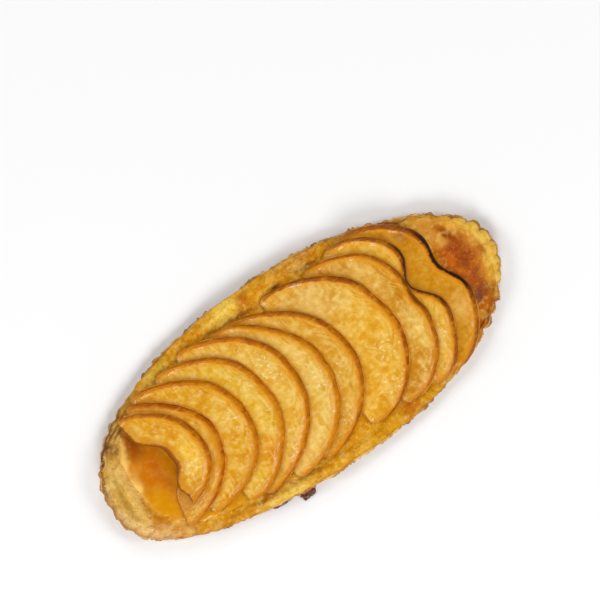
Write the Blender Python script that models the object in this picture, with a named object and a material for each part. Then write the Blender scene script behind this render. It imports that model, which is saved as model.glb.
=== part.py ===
"""An oval apple tart: a puff pastry crust with a fluted rim, a bed of compote, and eleven
apple slices that lie over each other like roof tiles.

+X runs along the tart, from the end with the golden pool of compote to the browned end.
+Z is up, and the origin is the middle of the underside. Lengths are metres.
"""

import math

import bmesh
import bpy
import numpy as np

GAP = 0.0003  # clearance between pieces that touch

# Crust, seen from above: an ellipse that is slightly out of true, cut with a fluted cutter.
HALF_LENGTH = 0.0962
HALF_WIDTH = 0.0417
SHIFT = -0.0006  # along the tart, which puts the middle of its box on the origin
# The outline's long waves: how many go round, their size as a share, and their first peak.
OUT_OF_TRUE = ((1, 0.005, 131), (2, 0.008, -89), (3, 0.011, -25), (4, 0.013, 34), (5, 0.008, 4))
FLUTES = 70
POINTS_PER_FLUTE = 3
FLUTE_DEPTH_ENDS = 0.0011
FLUTE_DEPTH_SIDES = 0.0004

# Crust, from the side.
BED_TOP = 0.0065
RECESS_FLOOR = 0.0042
LEAVES = 3  # flaky layers that stand out of the wall
LEAF_DEPTH = 0.0008
FOOT_INSET = 0.0016
LIP_ROUND = 0.0009

# The rim: degrees round the crust, its lift above the bed, and where between the compote (0)
# and the edge (1) it starts to rise. It is pressed flat where slices lie over it.
RIM = (
    (0, 0.0026, 0.00),
    (20, 0.0020, 0.05),
    (38, 0.0005, 0.30),
    (66, 0.0005, 0.35),
    (76, 0.0019, 0.35),
    (98, 0.0020, 0.35),
    (108, 0.0005, 0.35),
    (143, 0.0005, 0.20),
    (152, 0.0032, 0.05),
    (180, 0.0044, 0.00),
    (204, 0.0034, 0.05),
    (216, 0.0005, 0.25),
    (234, 0.0005, 0.35),
    (252, 0.0020, 0.35),
    (274, 0.0019, 0.35),
    (290, 0.0005, 0.35),
    (326, 0.0005, 0.30),
    (342, 0.0018, 0.05),
    (360, 0.0026, 0.00),
)
RIM_RISE = 0.42  # share of the way out over which it rises
RIM_FALL = 0.45  # share of its lift that it loses again at the edge
RIM_STEPS = (0.88, 0.66, 0.45, 0.22, 0.0)

# Compote: a rounded oblong that shows at both ends.
COMPOTE_LEFT = 0.0800
COMPOTE_RIGHT = 0.0880
COMPOTE_HALF_WIDTH = 0.0315
COMPOTE_SQUARENESS = 3.0
COMPOTE_POINTS = 72
COMPOTE_ROUND = 0.00025

# The apple slices: half rounds, cut across a cored half apple.
SLICE_THICKNESS = 0.0023
PEEL_SLANT = 0.0018
SLICE_TAPER = 0.0150  # run over which a slice comes to its full thickness
TIP_ANGLE = math.radians(84)
TIP_SHARE = 0.93  # the straight edge ends inside the round one, which leaves blunt tips
CORE_DEPTH = 0.0090
CORE_HALF_WIDTH = 0.0105
RIDE_LIFT = 0.0008  # how far a slice rises where it lies over the rim
RIDE_FROM = 0.68
STEPS_ROUND = 20
STEPS_ACROSS = 7

# Where each slice lies, from the top one to the lowest: the furthest point of its round edge
# along the tart, its straight edge, its middle, its half height, how far its straight edge
# leans and bows, and how pointed its round edge is. A dent is a depth, a place and a width.
SLICES = (
    {"apex": -0.0470, "edge": -0.0695, "mid": 0.0025, "half": 0.0250,
     "lean": -0.0010, "bow": 0.0040, "point": 1.5},
    {"apex": -0.0395, "edge": -0.0670, "mid": 0.0020, "half": 0.0275,
     "lean": 0.0030, "bow": 0.0025, "point": 1.5},
    {"apex": -0.0260, "edge": -0.0595, "mid": 0.0025, "half": 0.0295,
     "lean": -0.0010, "bow": 0.0025, "point": 1.25},
    {"apex": -0.0135, "edge": -0.0465, "mid": 0.0010, "half": 0.0325,
     "lean": -0.0020, "bow": 0.0015, "point": 1.1},
    {"apex": -0.0005, "edge": -0.0370, "mid": 0.0015, "half": 0.0345,
     "lean": 0.0010, "bow": 0.0015, "point": 1.15},
    {"apex": 0.0120, "edge": -0.0220, "mid": -0.0005, "half": 0.0345,
     "lean": 0.0015, "bow": 0.0015, "point": 1.1},
    {"apex": 0.0235, "edge": -0.0140, "mid": -0.0005, "half": 0.0345,
     "lean": -0.0035, "bow": 0.0015, "point": 1.1},
    {"apex": 0.0448, "edge": 0.0085, "mid": -0.0005, "half": 0.0345,
     "lean": -0.0030, "bow": 0.0010, "point": 1.0},
    {"apex": 0.0575, "edge": 0.0265, "mid": -0.0010, "half": 0.0345,
     "lean": -0.0025, "bow": 0.0010, "point": 0.9, "dent": (0.0015, -0.0010, 0.0060)},
    {"apex": 0.0665, "edge": 0.0380, "mid": 0.0000, "half": 0.0355,
     "lean": -0.0030, "bow": 0.0010, "point": 0.75, "dent": (0.0090, 0.0040, 0.0090)},
    {"apex": 0.0775, "edge": 0.0465, "mid": 0.0005, "half": 0.0360,
     "lean": -0.0040, "bow": 0.0010, "point": 0.95, "dent": (0.0055, 0.0045, 0.0090)},
)

# Juice that ran out and burnt at the foot of the crust: place, half size and turn in degrees.
BURNT_JUICE = (
    {"at": (-0.0242, -0.0404), "half": (0.0034, 0.0022), "turn": 28},
    {"at": (-0.0379, -0.0375), "half": (0.0032, 0.0014), "turn": -8},
)
JUICE_BASE = 0.00015
JUICE_HALF_HEIGHT = 0.00075


def clear_scene():
    for thing in list(bpy.data.objects):
        bpy.data.objects.remove(thing, do_unlink=True)


def new_material(name, colour, roughness):
    material = bpy.data.materials.new(name)
    material.use_nodes = True
    shader = material.node_tree.nodes["Principled BSDF"]
    shader.inputs["Base Color"].default_value = (*colour, 1.0)
    shader.inputs["Roughness"].default_value = roughness
    shader.inputs["Metallic"].default_value = 0.0
    return material


def smooth_step(x):
    x = np.clip(x, 0.0, 1.0)
    return x * x * (3.0 - 2.0 * x)


# The outlines, as seen from above.


def true_share(angle):
    """How far the out-of-true outline is from the centre, as a share of the ellipse's radius."""
    share = np.ones_like(angle)
    for waves, size, peak in OUT_OF_TRUE:
        share = share + size * np.cos(waves * (angle - math.radians(peak)))
    return share


def outline(angle):
    share = true_share(angle)
    return HALF_LENGTH * share * np.cos(angle), HALF_WIDTH * share * np.sin(angle)


def outward(angle):
    """The direction straight out of the crust's edge."""
    x, y = np.cos(angle) / HALF_LENGTH, np.sin(angle) / HALF_WIDTH
    size = np.hypot(x, y)
    return x / size, y / size


def even_angles(count):
    """Angles whose points lie evenly spaced along the outline."""
    fine = np.linspace(0.0, 2.0 * math.pi, 4001)
    x, y = outline(fine)
    run = np.concatenate([[0.0], np.cumsum(np.hypot(np.diff(x), np.diff(y)))])
    return np.interp(np.arange(count) / count * run[-1], run, fine)


def compote_share(angle):
    """Where the compote ends on its way out, as a share of the crust's outline."""
    along = np.where(np.cos(angle) > 0.0, COMPOTE_RIGHT, COMPOTE_LEFT)
    x = np.abs(HALF_LENGTH * np.cos(angle) / along) ** COMPOTE_SQUARENESS
    y = np.abs(HALF_WIDTH * np.sin(angle) / COMPOTE_HALF_WIDTH) ** COMPOTE_SQUARENESS
    return (x + y) ** (-1.0 / COMPOTE_SQUARENESS) / true_share(angle)


def rim_value(angle, column):
    """A column of the rim's table at each angle, eased from one station to the next."""
    turn = np.degrees(angle) % 360.0
    stops = np.array([row[0] for row in RIM], float)
    values = np.array([row[column] for row in RIM], float)
    after = np.clip(np.searchsorted(stops, turn, side="right"), 1, len(stops) - 1)
    share = smooth_step((turn - stops[after - 1]) / (stops[after] - stops[after - 1]))
    return values[after - 1] * (1.0 - share) + values[after] * share


# The heights.


def crust_top(angle, out):
    """Height of the crust's top. out runs from the compote's edge (0) to the crust's (1)."""
    rise = smooth_step((out - rim_value(angle, 2)) / RIM_RISE)
    fall = 1.0 - RIM_FALL * smooth_step((out - 0.6) / 0.4)
    return BED_TOP + rim_value(angle, 1) * rise * fall


def resting_height(x, y):
    """What the slices lie on: the bed, and an easy rise where they reach over the rim."""
    angle = np.arctan2(y / HALF_WIDTH, x / HALF_LENGTH)
    share = np.hypot(x / HALF_LENGTH, y / HALF_WIDTH) / true_share(angle)
    return BED_TOP + RIDE_LIFT * smooth_step((share - RIDE_FROM) / (0.95 - RIDE_FROM))


def straight_edge(piece, y):
    """How far along the tart a slice's straight edge lies, at each y."""
    across = np.clip((y - piece["mid"]) / piece["half"], -1.05, 1.05)
    return piece["edge"] + piece["lean"] * across - piece["bow"] * across**2


def full_share(piece, x, y):
    """How much of its full thickness a slice has: half on its straight edge, all well inside."""
    return smooth_step(0.5 + (x - straight_edge(piece, y)) / SLICE_TAPER)


def slice_underside(number, x, y):
    """A slice climbs by a thickness and a gap over each of the slices under it."""
    height = resting_height(x, y) + GAP
    for below in SLICES[number + 1 :]:
        height = height + (SLICE_THICKNESS + GAP) * full_share(below, x, y)
    return height


def slice_thickness(number, x, y):
    """Slices that lie under another are squashed towards their straight edge."""
    if number == 0:
        return SLICE_THICKNESS
    return (SLICE_THICKNESS + GAP) * full_share(SLICES[number], x, y) - GAP


# The pieces.


def object_from(bm, name, collection, material):
    bmesh.ops.recalc_face_normals(bm, faces=bm.faces[:])
    mesh = bpy.data.meshes.new(name)
    bm.to_mesh(mesh)
    bm.free()
    mesh.materials.append(material)
    thing = bpy.data.objects.new(name, mesh)
    thing.location.x = SHIFT
    collection.objects.link(thing)
    mesh.shade_smooth()
    mesh.set_sharp_from_angle(angle=math.radians(35))
    return thing


def loft(rings):
    """A closed solid through rings of points, capped flat at both ends."""
    bm = bmesh.new()
    rows = []
    for xs, ys, zs in rings:
        rows.append([bm.verts.new(point) for point in zip(xs, ys, zs)])
    for lower, upper in zip(rows, rows[1:]):
        for here in range(len(lower)):
            there = (here + 1) % len(lower)
            bm.faces.new((lower[here], lower[there], upper[there], upper[here]))
    bm.faces.new(rows[0][::-1])
    bm.faces.new(rows[-1])
    return bm


def crust_rings():
    """Rings from the foot of the wall, up its leaves, over the rim and down into the recess."""
    angle = even_angles(FLUTES * POINTS_PER_FLUTE)
    edge_x, edge_y = outline(angle)
    out_x, out_y = outward(angle)
    at_ends = smooth_step((np.abs(np.cos(angle)) - 0.55) / 0.35)
    depth = FLUTE_DEPTH_SIDES + (FLUTE_DEPTH_ENDS - FLUTE_DEPTH_SIDES) * at_ends
    phase = np.arange(len(angle)) * math.pi / POINTS_PER_FLUTE
    flute = depth * (np.abs(np.sin(phase)) - 0.6)
    inner = compote_share(angle)
    lip = crust_top(angle, 1.0) - LIP_ROUND

    def wall_ring(height_share, inset, flute_share):
        move = flute * flute_share - inset
        return edge_x + out_x * move, edge_y + out_y * move, lip * height_share

    def top_ring(out):
        share = inner + (1.0 - inner) * out
        move = flute * out**2
        return edge_x * share + out_x * move, edge_y * share + out_y * move, crust_top(angle, out)

    rings = [wall_ring(0.0, FOOT_INSET, 0.4)]
    for leaf in range(LEAVES):
        bulge = FOOT_INSET * (1.0 - (leaf + 0.5) / LEAVES) ** 2
        rings.append(wall_ring((leaf + 0.4) / LEAVES, bulge, 1.0))
        if leaf < LEAVES - 1:
            rings.append(wall_ring((leaf + 0.95) / LEAVES, bulge + LEAF_DEPTH, 0.7))
    rings.append(wall_ring(1.0, 0.0, 1.0))
    for out in RIM_STEPS:
        rings.append(top_ring(out))
    rings.append((edge_x * inner, edge_y * inner, np.full_like(angle, RECESS_FLOOR)))
    return rings


def add_burnt_juice(collection):
    for number, drop in enumerate(BURNT_JUICE):
        bm = bmesh.new()
        bmesh.ops.create_icosphere(bm, subdivisions=2, radius=1.0)
        mesh = bpy.data.meshes.new(f"juice_{number}")
        bm.to_mesh(mesh)
        bm.free()
        blob = bpy.data.objects.new(f"juice_{number}", mesh)
        blob.scale = (*drop["half"], JUICE_HALF_HEIGHT)
        blob.rotation_euler[2] = math.radians(drop["turn"])
        blob.location = (drop["at"][0] + SHIFT, drop["at"][1], JUICE_BASE + JUICE_HALF_HEIGHT)
        collection.objects.link(blob)


def fuse(thing, helpers):
    """Joins the helpers' objects to the thing, and then removes them."""
    union = thing.modifiers.new("fused", "BOOLEAN")
    union.operation = "UNION"
    union.operand_type = "COLLECTION"
    union.collection = helpers
    bpy.context.view_layer.update()
    graph = bpy.context.evaluated_depsgraph_get()
    fused = bpy.data.meshes.new_from_object(thing.evaluated_get(graph))
    thing.modifiers.clear()
    thing.data = fused
    for helper in list(helpers.objects):
        bpy.data.objects.remove(helper, do_unlink=True)


def make_crust(collection, material):
    crust = object_from(loft(crust_rings()), "crust", collection, material)
    helpers = bpy.data.collections.new("helpers")
    bpy.context.scene.collection.children.link(helpers)
    add_burnt_juice(helpers)
    fuse(crust, helpers)
    bpy.data.collections.remove(helpers)


def make_compote(collection, material):
    """A shallow slab that fills the recess and ends level with the crust round it."""
    angle = np.linspace(0.0, 2.0 * math.pi, COMPOTE_POINTS, endpoint=False)
    edge_x, edge_y = outline(angle)
    out_x, out_y = outward(angle)
    inner = compote_share(angle)
    x, y = edge_x * inner - out_x * 1.5 * GAP, edge_y * inner - out_y * 1.5 * GAP
    rings = []
    for share, height in (
        (1.0, RECESS_FLOOR + GAP),
        (1.0, BED_TOP - COMPOTE_ROUND),
        (0.97, BED_TOP),
    ):
        rings.append((x * share, y * share, np.full_like(angle, height)))
    object_from(loft(rings), "compote", collection, material)


def slice_corner(number, along_share, across_share, is_top):
    """A point of a slice. along_share runs from tip (-1) to tip (1), and across_share from the
    straight, cored edge (0) to the round, peeled edge (1)."""
    piece = SLICES[number]
    turn = along_share * TIP_ANGLE
    round_y = piece["mid"] + piece["half"] * math.sin(turn)
    reach = math.cos(turn) ** piece["point"]
    round_x = piece["edge"] + piece["lean"] * math.sin(turn) + (piece["apex"] - piece["edge"]) * reach
    if "dent" in piece:
        depth, place, width = piece["dent"]
        round_x -= depth * math.exp(-(((round_y - place) / width) ** 2))
    edge_y = piece["mid"] + piece["half"] * TIP_SHARE * math.sin(turn)
    core = math.exp(-(abs((edge_y - piece["mid"]) / CORE_HALF_WIDTH) ** 2.5))
    edge_x = float(straight_edge(piece, edge_y)) + CORE_DEPTH * core
    if is_top:  # the peel slants outwards, so the top is a little narrower
        width = math.hypot(round_x - edge_x, round_y - edge_y)
        across_share *= 1.0 - min(PEEL_SLANT / width, 0.4)
    x = edge_x + (round_x - edge_x) * across_share
    y = edge_y + (round_y - edge_y) * across_share
    z = slice_underside(number, x, y) + slice_thickness(number, x, y) * is_top
    return x, y, float(z)


def make_slice(number, collection, material):
    bm = bmesh.new()
    bmesh.ops.create_grid(bm, x_segments=STEPS_ROUND, y_segments=STEPS_ACROSS, size=1.0)
    made = bmesh.ops.extrude_face_region(bm, geom=bm.faces[:])
    top = {part for part in made["geom"] if isinstance(part, bmesh.types.BMVert)}
    for corner in bm.verts:
        corner.co = slice_corner(number, corner.co.x, (corner.co.y + 1.0) / 2.0, corner in top)
    object_from(bm, f"apple_slice_{number + 1:02d}", collection, material)


def main():
    clear_scene()
    tart = bpy.data.collections.new("apple_tart")
    bpy.context.scene.collection.children.link(tart)
    pastry = new_material("pastry", (0.72, 0.47, 0.19), 0.55)
    compote = new_material("compote", (0.66, 0.30, 0.03), 0.25)
    apple = new_material("apple", (0.80, 0.50, 0.13), 0.30)
    make_crust(tart, pastry)
    make_compote(tart, compote)
    for number in range(len(SLICES)):
        make_slice(number, tart, apple)


main()
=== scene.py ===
import math

import bpy
import numpy as np
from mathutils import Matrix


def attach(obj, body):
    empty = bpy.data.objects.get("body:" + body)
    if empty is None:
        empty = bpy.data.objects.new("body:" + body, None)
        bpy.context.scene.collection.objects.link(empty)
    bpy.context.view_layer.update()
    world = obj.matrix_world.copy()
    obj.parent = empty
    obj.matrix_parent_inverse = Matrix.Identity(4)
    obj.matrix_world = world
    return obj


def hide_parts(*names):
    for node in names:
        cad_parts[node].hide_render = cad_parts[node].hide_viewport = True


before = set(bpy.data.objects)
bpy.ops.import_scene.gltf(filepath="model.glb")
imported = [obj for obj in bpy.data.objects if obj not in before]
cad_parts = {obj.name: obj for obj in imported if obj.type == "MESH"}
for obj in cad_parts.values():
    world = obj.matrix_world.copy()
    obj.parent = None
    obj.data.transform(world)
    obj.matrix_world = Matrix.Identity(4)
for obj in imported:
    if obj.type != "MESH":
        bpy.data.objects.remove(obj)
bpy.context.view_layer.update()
print("frame loaded")

# The whole tart, in metres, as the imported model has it. Angles run round it from +X.
tart = {
    "halfLength": 0.0962,
    "halfWidth": 0.0417,
    "shift": -0.0006,  # along the tart, added to every x at the end
    # the outline's long waves: how many go round, their size as a share, their first peak
    "outOfTrue": ((1, 0.005, 131), (2, 0.008, -89), (3, 0.011, -25), (4, 0.013, 34), (5, 0.008, 4)),
    "clearance": 0.0003,
    "bedTop": 0.0065,
    "recessFloor": 0.0042,
    "compoteLeft": 0.0800,
    "compoteRight": 0.0880,
    "compoteHalfWidth": 0.0315,
    "compoteSquareness": 3.0,
    "rideLift": 0.0008,  # how far a slice rises where it lies over the rim
    "rideFrom": 0.68,  # the shares of the way out between which it rises
    "rideTo": 0.95,
    "rimRise": 0.42,
    "rimFall": 0.45,
    # degrees round the crust, the rim's lift, and where it starts to rise
    "rim": (
        (0, 0.0026, 0.00), (20, 0.0020, 0.05), (38, 0.0005, 0.30), (66, 0.0005, 0.35),
        (76, 0.0019, 0.35), (98, 0.0020, 0.35), (108, 0.0005, 0.35), (143, 0.0005, 0.20),
        (152, 0.0032, 0.05), (180, 0.0044, 0.00), (204, 0.0034, 0.05), (216, 0.0005, 0.25),
        (234, 0.0005, 0.35), (252, 0.0020, 0.35), (274, 0.0019, 0.35), (290, 0.0005, 0.35),
        (326, 0.0005, 0.30), (342, 0.0018, 0.05), (360, 0.0026, 0.00),
    ),
}


def paint(red, green, blue):  # a colour as a picture shows it, made linear
    share = np.array([red, green, blue]) / 255.0
    return np.where(share > 0.04045, ((share + 0.055) / 1.055) ** 2.4, share / 12.92)


def smoothStep(x):  # eased from 0 to 1: x squared times three less two x
    x = np.clip(x, 0.0, 1.0)
    return x * x * (3.0 - 2.0 * x)


def bell(x, power=2):  # 1 at 0, falling to 0 on both sides
    return np.exp(-(np.abs(x) ** power))


def cornerValue(ix, iy, iz, seed):  # large odd numbers scramble whole ones to a value from -1 to 1
    mixed = (ix * 73856093) ^ (iy * 19349663) ^ (iz * 83492791) ^ (seed * 26544357)
    mixed = (mixed ^ (mixed >> 13)) * 1274126177
    mixed = (mixed ^ (mixed >> 15)) * 668265263
    return ((mixed >> 9) & 0xFFFF) / 32767.5 - 1.0


def lumps(x, y, z, size, seed):  # corner values of a grid of that size, blended by smooth steps
    x, y, z = np.broadcast_arrays(x / size + 91.7, y / size + 53.1, z / size + 17.3)
    ix, iy, iz = (np.floor(a).astype(np.int64) for a in (x, y, z))
    sx, sy, sz = smoothStep(x - ix), smoothStep(y - iy), smoothStep(z - iz)
    total = 0.0
    for dx in (0, 1):
        for dy in (0, 1):
            for dz in (0, 1):
                weight = (sx if dx else 1 - sx) * (sy if dy else 1 - sy) * (sz if dz else 1 - sz)
                total = total + weight * cornerValue(ix + dx, iy + dy, iz + dz, seed)
    return total


def roughness(x, y, z, size, seed, octaves=3):  # lumps, and half as high ones half as wide, and so on
    total = 0.0
    for octave in range(octaves):
        total = total + lumps(x, y, z, size / 2**octave, seed + octave) / 2**octave
    return total


# Outlines and heights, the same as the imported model's.


def trueShare(angle):  # one, and a cosine for each long wave
    share = np.ones_like(angle)
    for waves, size, peak in tart["outOfTrue"]:
        share = share + size * np.cos(waves * (angle - math.radians(peak)))
    return share


def outline(angle):  # an ellipse times its long waves
    share = trueShare(angle)
    return tart["halfLength"] * share * np.cos(angle), tart["halfWidth"] * share * np.sin(angle)


def outward(angle):  # straight out of the ellipse's edge
    x, y = np.cos(angle) / tart["halfLength"], np.sin(angle) / tart["halfWidth"]
    return x / np.hypot(x, y), y / np.hypot(x, y)


def outlineRun():  # angles all round, and how far along the outline each of them lies
    angle = np.linspace(0.0, 2.0 * math.pi, 4001)
    x, y = outline(angle)
    return angle, np.concatenate([[0.0], np.cumsum(np.hypot(np.diff(x), np.diff(y)))])


def evenAngles(count):  # angles whose points are evenly spaced along the outline
    angle, run = outlineRun()
    return np.interp(np.arange(count) / count * run[-1], run, angle)


def compoteShare(angle):  # a superellipse, as a share of the crust's outline
    along = np.where(np.cos(angle) > 0.0, tart["compoteRight"], tart["compoteLeft"])
    power = tart["compoteSquareness"]
    x = np.abs(tart["halfLength"] * np.cos(angle) / along) ** power
    y = np.abs(tart["halfWidth"] * np.sin(angle) / tart["compoteHalfWidth"]) ** power
    return (x + y) ** (-1.0 / power) / trueShare(angle)


def rimValue(angle, column):  # the rim's table, eased from one station to the next
    turn = np.degrees(angle) % 360.0
    stops = np.array([row[0] for row in tart["rim"]], float)
    values = np.array([row[column] for row in tart["rim"]], float)
    after = np.clip(np.searchsorted(stops, turn, side="right"), 1, len(stops) - 1)
    share = smoothStep((turn - stops[after - 1]) / (stops[after] - stops[after - 1]))
    return values[after - 1] * (1.0 - share) + values[after] * share


def crustTop(angle, out):  # rises from the compote's edge (0), and falls a little to the crust's (1)
    rise = smoothStep((out - rimValue(angle, 2)) / tart["rimRise"])
    fall = 1.0 - tart["rimFall"] * smoothStep((out - 0.6) / 0.4)
    return tart["bedTop"] + rimValue(angle, 1) * rise * fall


def polar(x, y):  # the angle, and the share of the way out to the crust's edge
    angle = np.arctan2(y / tart["halfWidth"], x / tart["halfLength"])
    share = np.hypot(x / tart["halfLength"], y / tart["halfWidth"])
    return angle, share / trueShare(angle)


def restingHeight(x, y):  # the bed, with an easy rise over the rim
    angle, share = polar(x, y)
    start, end = tart["rideFrom"], tart["rideTo"]
    return tart["bedTop"] + tart["rideLift"] * smoothStep((share - start) / (end - start))


def nearest(x, y, curveX, curveY, part=40):  # how far each point is from a curve's nearest point
    far = np.full(x.shape, 1.0)
    for start in range(0, len(curveX), part):  # a part of the curve at a time, to save memory
        dx = x[..., None] - curveX[start : start + part]
        dy = y[..., None] - curveY[start : start + part]
        far = np.minimum(far, np.min(dx * dx + dy * dy, axis=-1))
    return np.sqrt(far)


def wandered(x, y, seed, size=0.0055, reach=0.0017):  # places moved a little, for uneven edges
    moveX, moveY = roughness(x, y, 0.0, size, seed), roughness(x, y, 0.0, size, seed + 9)
    return x + reach * moveX, y + reach * moveY


def zone(x, y, halfLength, halfWidth, colour=(0, 0, 0), turn=0, firm=1.5):  # a soft oval
    return {"at": (x, y), "half": (halfLength, halfWidth), "colour": paint(*colour),
            "turn": math.radians(turn), "firm": firm}


def ovalShare(x, y, oval):  # 1 in the middle of a zone, a third on its edge, 0 well outside
    turn = oval["turn"]
    dx, dy = x - oval["at"][0], y - oval["at"][1]
    along = (dx * math.cos(turn) + dy * math.sin(turn)) / oval["half"][0]
    across = (dy * math.cos(turn) - dx * math.sin(turn)) / oval["half"][1]
    return np.exp(-((along**2 + across**2) ** oval["firm"]))


def zoned(x, y, base, zones, seed):  # a base colour, and over it the zones with uneven edges
    colour = np.ones(x.shape + (1,)) * base
    x, y = wandered(x, y, seed)
    for oval in zones:
        share = ovalShare(x, y, oval)
        colour = colour + share[..., None] * (oval["colour"] - colour)
    return colour


# What the oven did to the top, with some painted highlight and shade among its zones, the same
# for crust and compote so that they run into each other.
topColours = {
    "colour": paint(217, 151, 4),
    "seed": 31,
    "patch": zone(0.0802, -0.0030, 0.0084, 0.0150, turn=-8),
    "zones": (
        # the left end: pale rim, its crest brightened as a painted highlight, its lower and upper flanks
        zone(-0.0900, 0.0000, 0.0150, 0.0340, (224, 182, 94)),
        zone(-0.0940, 0.0000, 0.0034, 0.0240, (220, 178, 122)),
        zone(-0.0855, -0.0020, 0.0020, 0.0100, (204, 154, 44)),
        zone(-0.0830, -0.0190, 0.0130, 0.0080, (230, 184, 122), turn=-35),
        zone(-0.0740, 0.0250, 0.0130, 0.0050, (196, 150, 70), turn=32),
        # painted highlight: the crest, brighter than the shading of its slope would leave it
        zone(-0.0820, 0.0020, 0.0031, 0.0165, (248, 204, 112), turn=-16),
        zone(-0.0800, 0.0195, 0.0040, 0.0028, (150, 108, 60), turn=40),
        # the long sides
        zone(-0.0600, -0.0335, 0.0140, 0.0050, (206, 138, 4), turn=-14),
        zone(-0.0480, 0.0340, 0.0080, 0.0040, (200, 156, 24), turn=20),
        zone(-0.0290, -0.0385, 0.0110, 0.0055, (240, 202, 84)),
        zone(-0.0300, -0.0290, 0.0200, 0.0040, (224, 170, 50)),
        zone(0.0140, -0.0390, 0.0320, 0.0060, (220, 156, 6)),
        zone(0.0300, -0.0365, 0.0060, 0.0040, (200, 124, 2)),
        zone(0.0250, 0.0378, 0.0110, 0.0040, (198, 122, 0)),
        zone(-0.0100, 0.0380, 0.0070, 0.0060, (244, 204, 76)),
        zone(-0.0012, 0.0385, 0.0034, 0.0040, (196, 118, 0)),
        # painted shade, partly caramel: thin dark lines and a spot between the slices' tips and the rim
        zone(-0.0090, 0.0338, 0.0160, 0.0011, (158, 94, 12), turn=-2),
        zone(0.0112, 0.0345, 0.0018, 0.0013, (92, 60, 38)),
        zone(0.0262, 0.0346, 0.0060, 0.0011, (134, 76, 20), turn=-6),
        zone(-0.0350, -0.0330, 0.0170, 0.0012, (172, 104, 22), turn=-6),
        zone(0.0620, 0.0305, 0.0130, 0.0018, (118, 64, 28), turn=-34),
        # the right end: pale flutes, then orange and brown where it baked longest
        zone(0.0900, 0.0030, 0.0110, 0.0220, (244, 200, 78)),
        zone(0.0750, 0.0190, 0.0075, 0.0070, (212, 154, 66), turn=-30),
        zone(0.0750, -0.0225, 0.0100, 0.0080, (170, 86, 0), turn=30),
        zone(0.0795, -0.0010, 0.0096, 0.0160, (198, 100, 4), turn=-12),
        zone(0.0800, -0.0020, 0.0080, 0.0135, (160, 80, 24), turn=-8),
        zone(0.0772, 0.0044, 0.0056, 0.0048, (168, 76, 4), turn=20),
        zone(0.0812, -0.0148, 0.0034, 0.0032, (150, 76, 22)),
        zone(0.0770, 0.0122, 0.0030, 0.0032, (212, 148, 56)),
        zone(0.0818, 0.0118, 0.0020, 0.0064, (152, 70, 2), turn=24),
        zone(0.0772, -0.0156, 0.0030, 0.0026, (124, 66, 44)),
        # the pool: gold at its rim and foot, amber in the middle, brown at its upper end
        zone(-0.0698, -0.0030, 0.0106, 0.0220, (200, 122, 0), turn=-10, firm=3.5),
        zone(-0.0765, -0.0125, 0.0080, 0.0085, (214, 142, 2), firm=2.0),
        zone(-0.0730, 0.0030, 0.0050, 0.0080, (200, 112, 0)),
        zone(-0.0758, 0.0096, 0.0017, 0.0050, (206, 116, 0), turn=-18),
        zone(-0.0690, 0.0010, 0.0030, 0.0100, (190, 98, 0)),
        zone(-0.0728, 0.0160, 0.0040, 0.0070, (150, 72, 0), turn=-12),
        # painted highlight: a pale streak where the crest by the pool's upper end catches the light
        zone(-0.0762, 0.0190, 0.0016, 0.0052, (234, 188, 96), turn=-21),
    ),
}


def surface(name, x, y, z, marks):
    # Rows of points to one closed mesh: columns run round, and each end is drawn to a point.
    # A third, first axis holds copies.
    if x.ndim == 2:
        x, y, z = x[None], y[None], z[None]
        marks = {mark: values[None] for mark, values in marks.items()}
    copies, rows, columns = x.shape
    count = copies * rows * columns
    points = np.stack([x + tart["shift"], y, z], axis=-1)
    index = np.arange(count).reshape(x.shape)
    after = np.roll(index, -1, axis=2)
    quads = np.stack([index[:, :-1], after[:, :-1], after[:, 1:], index[:, 1:]], axis=-1).reshape(-1, 4)
    pole = count + np.arange(copies)[:, None] + np.zeros((1, columns), int)
    starts = np.stack([pole, after[:, 0], index[:, 0]], axis=-1).reshape(-1, 3)
    ends = np.stack([index[:, -1], after[:, -1], pole + copies], axis=-1).reshape(-1, 3)

    def withPoles(values):
        width = values.shape[3]
        middles = [values[:, 0].mean(1), values[:, -1].mean(1)]
        return np.concatenate([values.reshape(-1, width), *middles])

    corners = np.concatenate([quads.ravel(), starts.ravel(), ends.ravel()])
    sizes = np.concatenate([np.full(len(quads), 4), np.full(len(starts) + len(ends), 3)])
    mesh = bpy.data.meshes.new(name)
    mesh.vertices.add(count + 2 * copies)
    mesh.vertices.foreach_set("co", withPoles(points).ravel())
    mesh.loops.add(len(corners))
    mesh.loops.foreach_set("vertex_index", corners)
    mesh.polygons.add(len(sizes))
    mesh.polygons.foreach_set("loop_start", np.cumsum(sizes) - sizes)
    mesh.update(calc_edges=True)
    for mark, values in marks.items():
        values = values if values.ndim == 4 else values[..., None]
        kind, field = {1: ("FLOAT", "value"), 3: ("FLOAT_VECTOR", "vector")}[values.shape[3]]
        layer = mesh.attributes.new(mark, kind, "POINT")
        layer.data.foreach_set(field, withPoles(values + np.zeros(x.shape + (1,))).ravel())
    mesh.shade_smooth()
    piece = bpy.data.objects.new(name, mesh)
    bpy.context.scene.collection.objects.link(piece)
    return piece


def place(piece, material, slot, *nodes):  # gives a piece its finish, its body and the nodes it stands for
    piece.data.materials.append(material)
    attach(piece, "root")
    if nodes:
        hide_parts(*nodes)


# Materials. A Value is a shader socket that can be used in Python sums.


class Value:
    def __init__(self, finish, socket):
        self.finish, self.socket = finish, socket

    def sum(self, operation, first, second):
        return self.finish.node("ShaderNodeMath", {"operation": operation}, {0: first, 1: second})

    def __add__(self, other):
        return self.sum("ADD", self, other)

    def __sub__(self, other):
        return self.sum("SUBTRACT", self, other)

    def __rsub__(self, other):
        return self.sum("SUBTRACT", other, self)

    def __mul__(self, other):
        return self.sum("MULTIPLY", self, other)

    __radd__ = __add__
    __rmul__ = __mul__


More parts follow.
